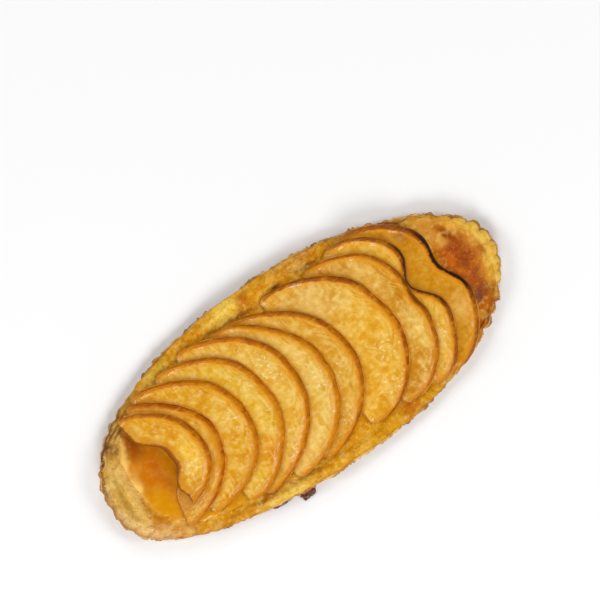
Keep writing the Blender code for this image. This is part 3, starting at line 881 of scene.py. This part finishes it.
def appleSlice(number):
    # Rows from tip to tip. In each, a loop over the top, down the peel, back along the
    # underside and up the cored edge. The ends shrink to round tips.
    piece = places[number]
    turn = np.linspace(-piece.get("lowerTip", 1.0), 1.0, slices["rows"])[:, None] * slices["tipAngle"]
    toTip = np.minimum(turn - turn[0], turn[-1] - turn) / slices["tipAngle"]
    roundX, roundY = roundEdge(piece, turn)
    wobble = lumps(roundX, roundY, 0.0, 0.0065, 80 + number)
    wobble = wobble + 0.35 * lumps(roundX, roundY, 0.0, 0.0019, 95 + number)
    wobble = wobble * slices["outlineWaves"]
    roundX, roundY = roundX + wobble * np.cos(turn), roundY + wobble * np.sin(turn)
    backY = sideY(piece, slices["tipShare"] * np.sin(turn))
    backX = backEdge(piece, backY)
    backX = backX + slices["backWaves"] * lumps(backX, backY, 0.0, 0.004, 120 + number)
    width = np.hypot(roundX - backX, roundY - backY)
    topShare = 1.0 - np.minimum(slices["peelSlant"] / width, 0.4)

    top = 1.0 - (1.0 - np.linspace(0.0, 1.0, slices["topColumns"])[None, :]) ** 1.45
    wall = (np.arange(1, slices["wallColumns"] + 1) / slices["wallColumns"])[None, :]
    back = 1.0 - (np.arange(1, slices["backColumns"] + 1) / slices["backColumns"])[None, :]
    rise = (np.arange(1, slices["coreColumns"] + 1) / (slices["coreColumns"] + 1))[None, :]
    across = np.concatenate([top * topShare, topShare + (1.0 - topShare) * wall,
                             back + 0.0 * width, -0.02 + 0.0 * rise * width], axis=1)
    share = np.concatenate([1.0 + 0.0 * top, 1.0 - wall**1.6, 0.0 * back, rise], axis=1) + 0.0 * width
    x = backX + (roundX - backX) * across
    y = backY + (roundY - backY) * across

    onWall = np.concatenate([0.0 * top, wall, 0.0 * back, 0.0 * rise], axis=1) + 0.0 * width
    topX, topY = backX + (roundX - backX) * topShare, backY + (roundY - backY) * topShare
    fromPeel = nearest(x, y, topX[:, 0], topY[:, 0]) * np.where(onWall > 0.0, -1.0, 1.0)
    beyond = beyondUpper(number, x, y)
    bare = smoothStep(beyond / 0.0016 + 0.3)
    arc = turn * piece["half"]
    fine, coarse = slices["shrivel"]
    shrivel = fine * lumps(x, y, 0.0, 0.0010, 110 + number)
    shrivel = shrivel + coarse * roughness(arc, 0.0, 0.0, 0.0022, 115 + number, 2)
    shrivel = shrivel * np.sin(math.pi * onWall)
    x, y = x + shrivel * np.cos(turn), y + shrivel * np.sin(turn)
    thin = slices["tipThickness"]
    thin = thin + (1.0 - thin) * smoothStep(toTip / 0.16)
    z = sliceUnderside(number, x, y) + sliceThickness(number, x, y) * share * thin
    z = z + sliceRelief(number, x, y, np.maximum(fromPeel, 0.0), arc, bare) * share

    (near, nearKeep), (far, farKeep) = slices["tipLoops"]

    def drawnIn(values):
        centre = values.mean(axis=1, keepdims=True)
        inner, outer = (centre + (values - centre) * keep for keep in (nearKeep, farKeep))
        return np.concatenate([outer[:1], inner[:1], values, inner[-1:], outer[-1:]])

    def extended(values):
        values = values + 0.0 * x
        return np.concatenate([values[:1], values[:1], values, values[-1:], values[-1:]])

    past = np.concatenate([[-far, -near], np.zeros(len(x)), [near, far]])[:, None]
    look = slices["looks"][number]
    wide, deep = drawnIn(x), drawnIn(y) + past
    fromBack = across * width
    marks = {
        "fromPeel": extended(fromPeel * 1000.0),
        "onWall": extended(onWall),
        "onCore": extended(np.concatenate([0.0 * top, 0.0 * wall, 0.0 * back, 1.0 - rise], axis=1)),
        "beyond": extended(beyond * 1000.0),
        "fromCore": extended(fromBack * 1000.0),
        "fromTip": extended(toTip * piece["half"] * 1400.0),
        "laid": np.stack([extended(arc), extended(fromBack), extended(0.0)], axis=-1),
        "side": extended(y - piece["mid"]),
        "glazeBeadsAndGlints": extended(beadAndGlintShare(x, y) * bare),
        "baked": zoned(wide, deep, look["flesh"], look.get("zones", ()), 130 + number),
    }
    name = f"apple_slice_{number + 1:02d}_glazed"
    return surface(name, wide, deep, drawnIn(z), marks)


def appleFinish(number):
    look = slices["looks"][number]
    made = Finish(f"glazedApple{number + 1:02d}")
    fromPeel, onWall, beyond = made.mark("fromPeel"), made.mark("onWall"), made.mark("beyond")
    laid = made.mark("laid", "Vector")
    fibre = made.noise(1.0, 2.0, made.stretched(laid, (1000.0, 240.0, 1.0)))
    streak = made.noise(1.0, 3.0, made.stretched(laid, (120.0, 800.0, 1.0)))
    uneven = made.noise(1.0, 3.0, made.stretched(laid, (230.0, 0.0, 1.0)))
    mottle, fleck, grain = made.noise(0.0055, 3.0), made.noise(0.0021, 3.0), made.noise(0.0009, 3.0)
    side, fromCore = made.mark("side"), made.mark("fromCore")
    # mottled flesh, its wrinkles along the edge, and a few brown specks
    pale, nearEdge = look.get("pale", 1.0), made.step(fromPeel, 7.0, 1.5)
    colour = made.layered(
        made.mark("baked", "Vector"),
        (mottle, 0.46, 0.66, 0.45 * pale, (240, 204, 112)),
        (mottle, 0.51, 0.36, 0.70, (0.91, 0.77, 0.24)),
        (fleck, 0.44, 0.68, 0.42, (0.86, 0.71, 0.28)),
        (fleck, 0.50, 0.31, 0.34 * pale, (248, 220, 140)),
        (fibre, 0.50, 0.70, 0.24, (0.86, 0.71, 0.30)),
        (streak, 0.50, 0.66, nearEdge * 0.60, (0.78, 0.58, 0.22)),
        (streak, 0.48, 0.34, nearEdge * (0.40 * pale), (246, 212, 120)),
        (made.noise(0.0014, 1.0), 0.72, 0.78, 0.50, (172, 106, 34)),
    )
    # beads of glaze with painted glints on them, and a golden band towards the peel
    beadAndGlint = made.mark("glazeBeadsAndGlints") * made.step(made.noise(0.0015, 2.0), 0.54, 0.66)
    inwards = fromPeel + 2.6 * (uneven - 0.5) + 1.4 * (fleck - 0.5)
    colour = made.layered(
        made.mix(beadAndGlint * 0.75, colour, paint(252, 226, 158)),
        (inwards, 3.4, 0.6, 0.70, (222, 148, 4)),
        (inwards, 1.1, -0.1, 0.90, (202, 122, 4)),
    )
    # the peel's own brown, and painted shade that darkens its upper half, whose walls face away from the
    # light
    down = -0.55 * fromPeel + 0.9 * (uneven - 0.5) + 0.6 * (fleck - 0.5)
    skin = made.noise(1.0, 3.0, made.stretched(laid, (650.0, 0.0, 1.0)))
    upper = made.step(side + 0.010 * (uneven - 0.5), 0.002, 0.022)
    peel = made.layered(
        made.mix(upper * look.get("dark", 0.12), look["peel"], (0.55, 0.40, 0.44), "MULTIPLY"),
        (mottle, 0.47, 0.64, 0.40, (0.68, 0.48, 0.32)),
        (fleck, 0.52, 0.66, 0.40, (0.66, 0.46, 0.30)),
        (mottle, 0.49, 0.36, 0.60 - 0.2 * upper, (214, 142, 14)),
        (skin, 0.50, 0.68, 0.32, (0.74, 0.54, 0.34)),
        (skin, 0.48, 0.34, 0.38, (230, 168, 66)),
    )
    # brown along the cored edge and round the tips; painted shade that widens the peel's band in the
    # upper half and darkens its foot, whose brown is partly its own; and painted shade that the slice
    # above casts on the flesh beside its edge
    colour = made.layered(
        made.mix(made.step(down + look.get("band", 0.6) * upper, -0.14, 0.34), colour, peel),
        (down + 0.25 * upper, 0.72, 0.98, 0.42, (0.50, 0.36, 0.24)),
        (fromCore, 0.8, 0.0, 0.70, (150, 86, 14)),
        (made.mark("fromTip") + 3.0 * (fleck - 0.5), 6.5, 0.3, 0.55, (196, 126, 32)),
        (beyond + 1.8 * (uneven - 0.5), 3.6, 0.2, 0.38, (202, 138, 34)),
        (beyond + 1.2 * (uneven - 0.5), 1.3, 0.1, 0.55, (190, 114, 6)),
    )
    if "burnt" in look:
        burnt = look["burnt"]
        along = side + (places[number]["mid"] - burnt["at"])
        near = made.node("ShaderNodeMath", {"operation": "ABSOLUTE"}, {0: along})
        share = made.step(near, burnt["half"], burnt["half"] * 0.6) * burnt["amount"]
        line = (down, burnt["from"], burnt["from"] + 0.20, share, burnt["colour"])
        colour = made.layered(colour, line)
    if number == 0:  # the top slice shows its browned core
        core = fromCore + 2.0 * (uneven - 0.5)
        middle = side + 0.004 * (uneven - 0.5)
        hollow = made.step(middle, -0.012, -0.004) * made.step(middle, 0.012, 0.006)
        colour = made.layered(
            colour,
            (core, 5.0, 2.6, 0.65, (204, 132, 10)),
            (core, 1.1, 0.1, 0.80, (122, 60, 6)),
            (core, 2.1, 1.1, hollow * 0.80, (138, 60, 0)),
        )
        wall = made.layered(paint(206, 134, 20), (mottle, 0.44, 0.60, 1.00, (168, 96, 14)))
        colour = made.mix(made.step(made.mark("onCore"), 0.05, 0.35) * 0.8, colour, wall)
    high = fibre * 0.25 + streak * nearEdge * 0.35 + grain * 0.40 + fleck * 0.70 + beadAndGlint * 0.35
    coat = 0.12 + 0.45 * made.step(fleck, 0.42, 0.6) + 0.4 * beadAndGlint
    return made.done(
        Base_Color=colour,
        Roughness=0.46 - 0.14 * made.step(mottle, 0.4, 0.6) + 0.16 * onWall,
        Normal=made.bump(high, 0.00045),
        Coat_Weight=coat * made.step(inwards, -0.4, 1.6),
        Coat_Roughness=0.12,
        Specular_IOR_Level=0.10,
        Subsurface_Weight=0.12,
        Subsurface_Scale=0.0015,
    )


for number in range(len(places)):
    place(appleSlice(number), appleFinish(number), "apple", f"apple_slice_{number + 1:02d}")
print("slices made")


# The compote: a glossy pool at one end and a rough, browned patch at the other.
compote = {
    "columns": 700,
    "hiddenRows": 12,
    "shownRows": 84,
    "shownFrom": 0.66,
    "reach": {"left": 0.0034, "right": 0.0020, "sides": 0.0006},  # how far it runs over the crust
    "poolHeight": 0.00030,
    "patchHeight": 0.00040,
    "sideHeight": 0.00008,
    "poolFrom": -0.050,  # where along the tart each of them starts
    "patchFrom": 0.064,
    "ripples": (0.00020, 0.00006),  # wide and narrow ones in the pool
    "crags": (0.00045, 0.00035),  # crags and pits in the patch
    "dipFrom": 0.97,  # the share of the way out where its edge dips into the crust
    "dip": 0.00012,
}


def compoteSkin():
    # Rows from the middle out over the crust's inner edge, where they dip into it, then back under
    # the film, down the recess and along its floor: shares of a superellipse.
    angle = np.linspace(0.0, 2.0 * math.pi, compote["columns"], endpoint=False)[None, :]
    edgeX, edgeY = outline(angle)
    outX, outY = outward(angle)
    inner = compoteShare(angle)
    right, left = endShares(angle)
    sides = compote["reach"]["sides"]
    reach = sides + (compote["reach"]["left"] - sides) * left
    reach = reach + (compote["reach"]["right"] - sides) * right
    reach = reach * (1.0 + 0.45 * roughness(edgeX, edgeY, 0.0, 0.0070, 221, 2))
    rimX, rimY = edgeX * inner + outX * reach, edgeY * inner + outY * reach
    start = compote["shownFrom"]
    out = np.concatenate([np.linspace(0.03, start, compote["hiddenRows"], endpoint=False),
                          np.linspace(start, 1.0, compote["shownRows"])])[:, None]
    x, y = rimX * out, rimY * out
    pool = smoothStep((compote["poolFrom"] - x) / 0.012)
    patch = smoothStep((x - compote["patchFrom"]) / 0.008)
    slope = smoothStep((1.0 - out) / (0.14 - 0.08 * left))
    wide, narrow = compote["ripples"]
    ripples = wide * roughness(x, y, 0.0, 0.009, 201) + narrow * lumps(x, y, 0.0, 0.0022, 204)
    crags, pits = compote["crags"]
    craggy = crags * roughness(x, y, 0.0, 0.0034, 211, 4)
    craggy = craggy - pits * smoothStep(lumps(x, y, 0.0, 0.0015, 216) * 2.0 - 0.3)
    film = compote["sideHeight"] + pool * (compote["poolHeight"] + ripples)
    z = tart["bedTop"] + slope * (film + patch * (compote["patchHeight"] + craggy))
    onRim = (np.hypot(x, y) / np.hypot(edgeX, edgeY) - inner) / (1.0 - inner)
    ending = out - compote["dipFrom"]
    dipped = crustTop(angle, np.clip(onRim, 0.0, 1.0)) - compote["dip"] * smoothStep(ending / 0.02)
    z = np.where(ending > 0.0, np.minimum(z, dipped), z)
    under = np.array([0.999, 0.998, 0.6, 0.1])[:, None] * inner
    floor = tart["recessFloor"] + tart["clearance"]
    underZ = np.array([tart["bedTop"], floor, floor, floor])[:, None] + 0.0 * angle
    x, y = np.concatenate([x, edgeX * under]), np.concatenate([y, edgeY * under])
    z = np.concatenate([z, underZ])
    shown = np.concatenate([slope + 0.0 * angle, 0.0 * underZ])
    x, y, z, shown = x[::-1], y[::-1], z[::-1], shown[::-1]
    marks = {
        "baked": zoned(x, y, topColours["colour"], topColours["zones"], topColours["seed"]),
        "browned": ovalShare(*wandered(x, y, topColours["seed"]), topColours["patch"]),
        "pool": smoothStep((compote["poolFrom"] - x) / 0.010) * shown,
    }
    return surface("compote_baked", x, y, z, marks)


def compoteFinish():
    made = Finish("bakedCompote")
    browned, pool, plain = made.mark("browned"), made.mark("pool"), made.mark("baked", "Vector")
    mottle, fleck, grain = made.noise(0.0060, 4.0), made.noise(0.0024, 3.0), made.noise(0.0010, 3.0)
    colour = made.mix(pool * 0.80, made.baked(), plain)
    rough = made.layered(
        plain,
        (mottle, 0.48, 0.60, 0.50, (0.76, 0.58, 0.62)),
        (mottle, 0.49, 0.38, 0.60, (202, 106, 10)),
        (fleck, 0.51, 0.62, 0.45, (0.64, 0.50, 0.44)),
        (grain, 0.44, 0.32, 0.30, (212, 150, 98)),
    )
    high = mottle * 0.3 + fleck * (0.10 + 0.8 * browned) + grain * (0.06 + 0.6 * browned)
    return made.done(
        Base_Color=made.mix(made.step(browned, 0.2, 0.7), colour, rough),
        Roughness=0.35 + 0.25 * browned,
        Normal=made.bump(high, 0.00045),
        Coat_Weight=0.18 + 0.60 * pool - 0.12 * browned,
        Coat_Roughness=0.10,
        Specular_IOR_Level=0.05,
    )


place(compoteSkin(), compoteFinish(), "compote", "compote")
print("compote made")


# A line of syrup, browned by the oven, lies along the foot of each slice's peel; its brown is also painted
# shade for the crease there.
syrup = {"radius": 0.00042, "rows": 300, "sides": 10, "offset": 0.00005, "length": 0.97}


def syrupLine(number):
    # A half-round ridge carried along the slice's round edge, thick and thin by turns.
    piece = places[number]
    turn = np.linspace(-piece.get("lowerTip", 1.0), 1.0, syrup["rows"])[:, None]
    turn = turn * syrup["length"] * slices["tipAngle"]
    pathX, pathY = roundEdge(piece, turn)
    stepX, stepY = np.gradient(pathX[:, 0])[:, None], np.gradient(pathY[:, 0])[:, None]
    length = np.hypot(stepX, stepY)
    sideX, sideY = stepY / length, -stepX / length
    thick = 0.62 + 0.5 * lumps(pathX, pathY, 0.0, 0.006, 301 + number)
    thick = thick + 0.25 * lumps(pathX, pathY, 0.0, 0.0018, 321 + number)
    toTip = np.minimum(turn - turn[0], turn[-1] - turn) / turn[-1]
    thick = syrup["radius"] * np.clip(thick, 0.12, 1.3) * smoothStep(toTip / 0.08 + 0.05)
    about = (np.arange(syrup["sides"]) / syrup["sides"] * 2.0 * math.pi)[None, :]
    out = syrup["offset"] + thick * np.cos(about)
    x, y = pathX + sideX * out, pathY + sideY * out
    lower = number + 1
    if lower < len(places):
        below = places[lower]
        edgeX, edgeY = roundEdge(below, np.linspace(-1.0, 1.0, 320) * slices["tipAngle"])
        fromPeel = nearest(pathX, pathY, edgeX, edgeY)
        ground = sliceUnderside(number, pathX, pathY) - tart["clearance"]
        ground = ground + sliceRelief(lower, pathX, pathY, fromPeel, turn * below["half"], 0.3)
    else:
        ground = restingHeight(pathX, pathY)
    z = ground + 0.8 * thick * np.sin(about)
    burnt = slices["looks"][number].get("burnt", {"at": 0.0, "half": 1.0, "amount": 0.0})
    dark = burnt["amount"] * bell((pathY - burnt["at"]) / burnt["half"], 4)
    return surface(f"syrup_line_{number + 1:02d}", x, y, z, {"dark": dark + 0.0 * x})


def syrupFinish():
    made = Finish("syrupAndCreaseShade")
    mottle = made.noise(0.004, 3.0)
    # the syrup's brown, partly painted shade in the crease between slices
    colour = made.layered(paint(190, 112, 8), (mottle, 0.38, 0.62, 1.00, (228, 150, 18)))
    colour = made.mix(made.mark("dark") * 0.8, colour, paint(70, 32, 14))
    return made.done(
        Base_Color=colour, Roughness=0.35, Coat_Weight=0.5, Coat_Roughness=0.1, Specular_IOR_Level=0.2)


syrupMaterial = syrupFinish()
for number in range(len(places)):
    place(syrupLine(number), syrupMaterial, "apple")
print("syrup made")


# Juice that ran out and burnt at the foot of the crust.
burntJuice = {
    "rows": 40,
    "columns": 60,
    "foot": 0.00003,  # just off the floor, as the crust's underside is
    "drops": (
        {"at": (-0.0246, -0.0408), "half": (0.0037, 0.0027), "height": 0.0009, "turn": 28},
        {"at": (-0.0358, -0.0384), "half": (0.0042, 0.0012), "height": 0.0008, "turn": -6},
        {"at": (-0.0022, -0.0404), "half": (0.0030, 0.0007), "height": 0.0005, "turn": 4},
        {"at": (0.0244, -0.0408), "half": (0.0016, 0.0006), "height": 0.0005, "turn": -4},
    ),
}


def juiceDrop(number, drop):
    # A flattened ball, its radius shaken by noise.
    rise = np.linspace(-0.5, 0.5, burntJuice["rows"] + 2)[1:-1, None] * math.pi
    turn = (np.arange(burntJuice["columns"]) / burntJuice["columns"] * 2.0 * math.pi)[None, :]
    x, y, z = np.cos(rise) * np.cos(turn), np.cos(rise) * np.sin(turn), np.sin(rise) + 0.0 * turn
    shake = 1.0 + 0.28 * roughness(x, y, z, 0.7, 401 + number)
    x, y = x * shake * drop["half"][0], y * shake * drop["half"][1]
    z = np.maximum((1.0 + z * (0.6 + 0.4 * shake)) * drop["height"], burntJuice["foot"])
    lean = math.radians(drop["turn"])
    wide, deep = x * math.cos(lean) - y * math.sin(lean), x * math.sin(lean) + y * math.cos(lean)
    return surface(f"burnt_juice_{number + 1}", drop["at"][0] + wide, drop["at"][1] + deep, z, {})


def juiceFinish():
    made = Finish("burntJuice")
    grain = made.noise(0.0010, 3.0)
    colour = made.layered(paint(60, 26, 16), (grain, 0.40, 0.65, 1.00, (132, 66, 30)))
    return made.done(Base_Color=colour, Roughness=0.45, Normal=made.bump(grain, 0.0004), Coat_Weight=0.4)


juiceMaterial = juiceFinish()
for number, drop in enumerate(burntJuice["drops"]):
    place(juiceDrop(number, drop), juiceMaterial, "pastry")
print("burnt juice made")


# Studio: a pale floor, soft light all round, and a camera straight above as in the photograph.
studio = {
    "floorSize": 3.0,
    "floorColour": (0.93, 0.93, 0.93),
    "overhead": 0.05,  # the surroundings' light, least overhead and most at the horizon
    "horizon": 0.42,
    "lampSize": 0.65,
    "lamps": (
        {"name": "key", "at": (-0.45, -0.85, 0.95), "power": 9.0},
        {"name": "left", "at": (-0.80, 0.45, 0.95), "power": 5.8},
        {"name": "fill", "at": (0.80, -0.45, 0.95), "power": 5.3},
        {"name": "right", "at": (0.50, 0.80, 0.95), "power": 3.3},
    ),
}
camera = {"turn": -35.15, "aim": (0.0168, 0.0247), "height": 1.208, "lens": 178.0, "sensor": 36.0}


def addFloor():
    half = studio["floorSize"] / 2.0
    corners = [(-half, -half, 0.0), (half, -half, 0.0), (half, half, 0.0), (-half, half, 0.0)]
    mesh = bpy.data.meshes.new("floor")
    mesh.from_pydata(corners, [], [(0, 1, 2, 3)])
    floor = bpy.data.objects.new("floor", mesh)
    bpy.context.scene.collection.objects.link(floor)
    made = Finish("paleFloor")
    floor.data.materials.append(made.done(Base_Color=studio["floorColour"], Roughness=0.6))


def addLamp(name, at, power):
    lamp = bpy.data.lights.new(name, "AREA")
    lamp.shape, lamp.size, lamp.energy = "DISK", studio["lampSize"], power
    light = bpy.data.objects.new(name, lamp)
    light.location = at
    light.rotation_euler = (-light.location).to_track_quat("-Z", "Y").to_euler()
    bpy.context.scene.collection.objects.link(light)


def addCamera():
    lens = bpy.data.cameras.new("camera")
    lens.lens, lens.sensor_width = camera["lens"], camera["sensor"]
    eye = bpy.data.objects.new("camera", lens)
    eye.location = (*camera["aim"], camera["height"])
    eye.rotation_euler = (0.0, 0.0, math.radians(camera["turn"]))
    bpy.context.scene.collection.objects.link(eye)
    bpy.context.scene.camera = eye


def addWorld():
    world = bpy.data.worlds.new("studio")
    world.use_nodes = True
    sky = Finish("studio", world.node_tree, "Generated")
    upwards = sky.node("ShaderNodeSeparateXYZ", {}, {0: sky.here}, "Z")
    strength = studio["overhead"] + (studio["horizon"] - studio["overhead"]) * sky.step(upwards, 0.95, 0.25)
    background = world.node_tree.nodes["Background"]
    sky.fill(background.inputs["Color"], (1.0, 1.0, 1.0))
    sky.fill(background.inputs["Strength"], strength)
    bpy.context.scene.world = world


addFloor()
addWorld()
for lamp in studio["lamps"]:
    addLamp(lamp["name"], lamp["at"], lamp["power"])
addCamera()
bpy.context.scene.view_settings.view_transform = "Standard"
print("studio made")
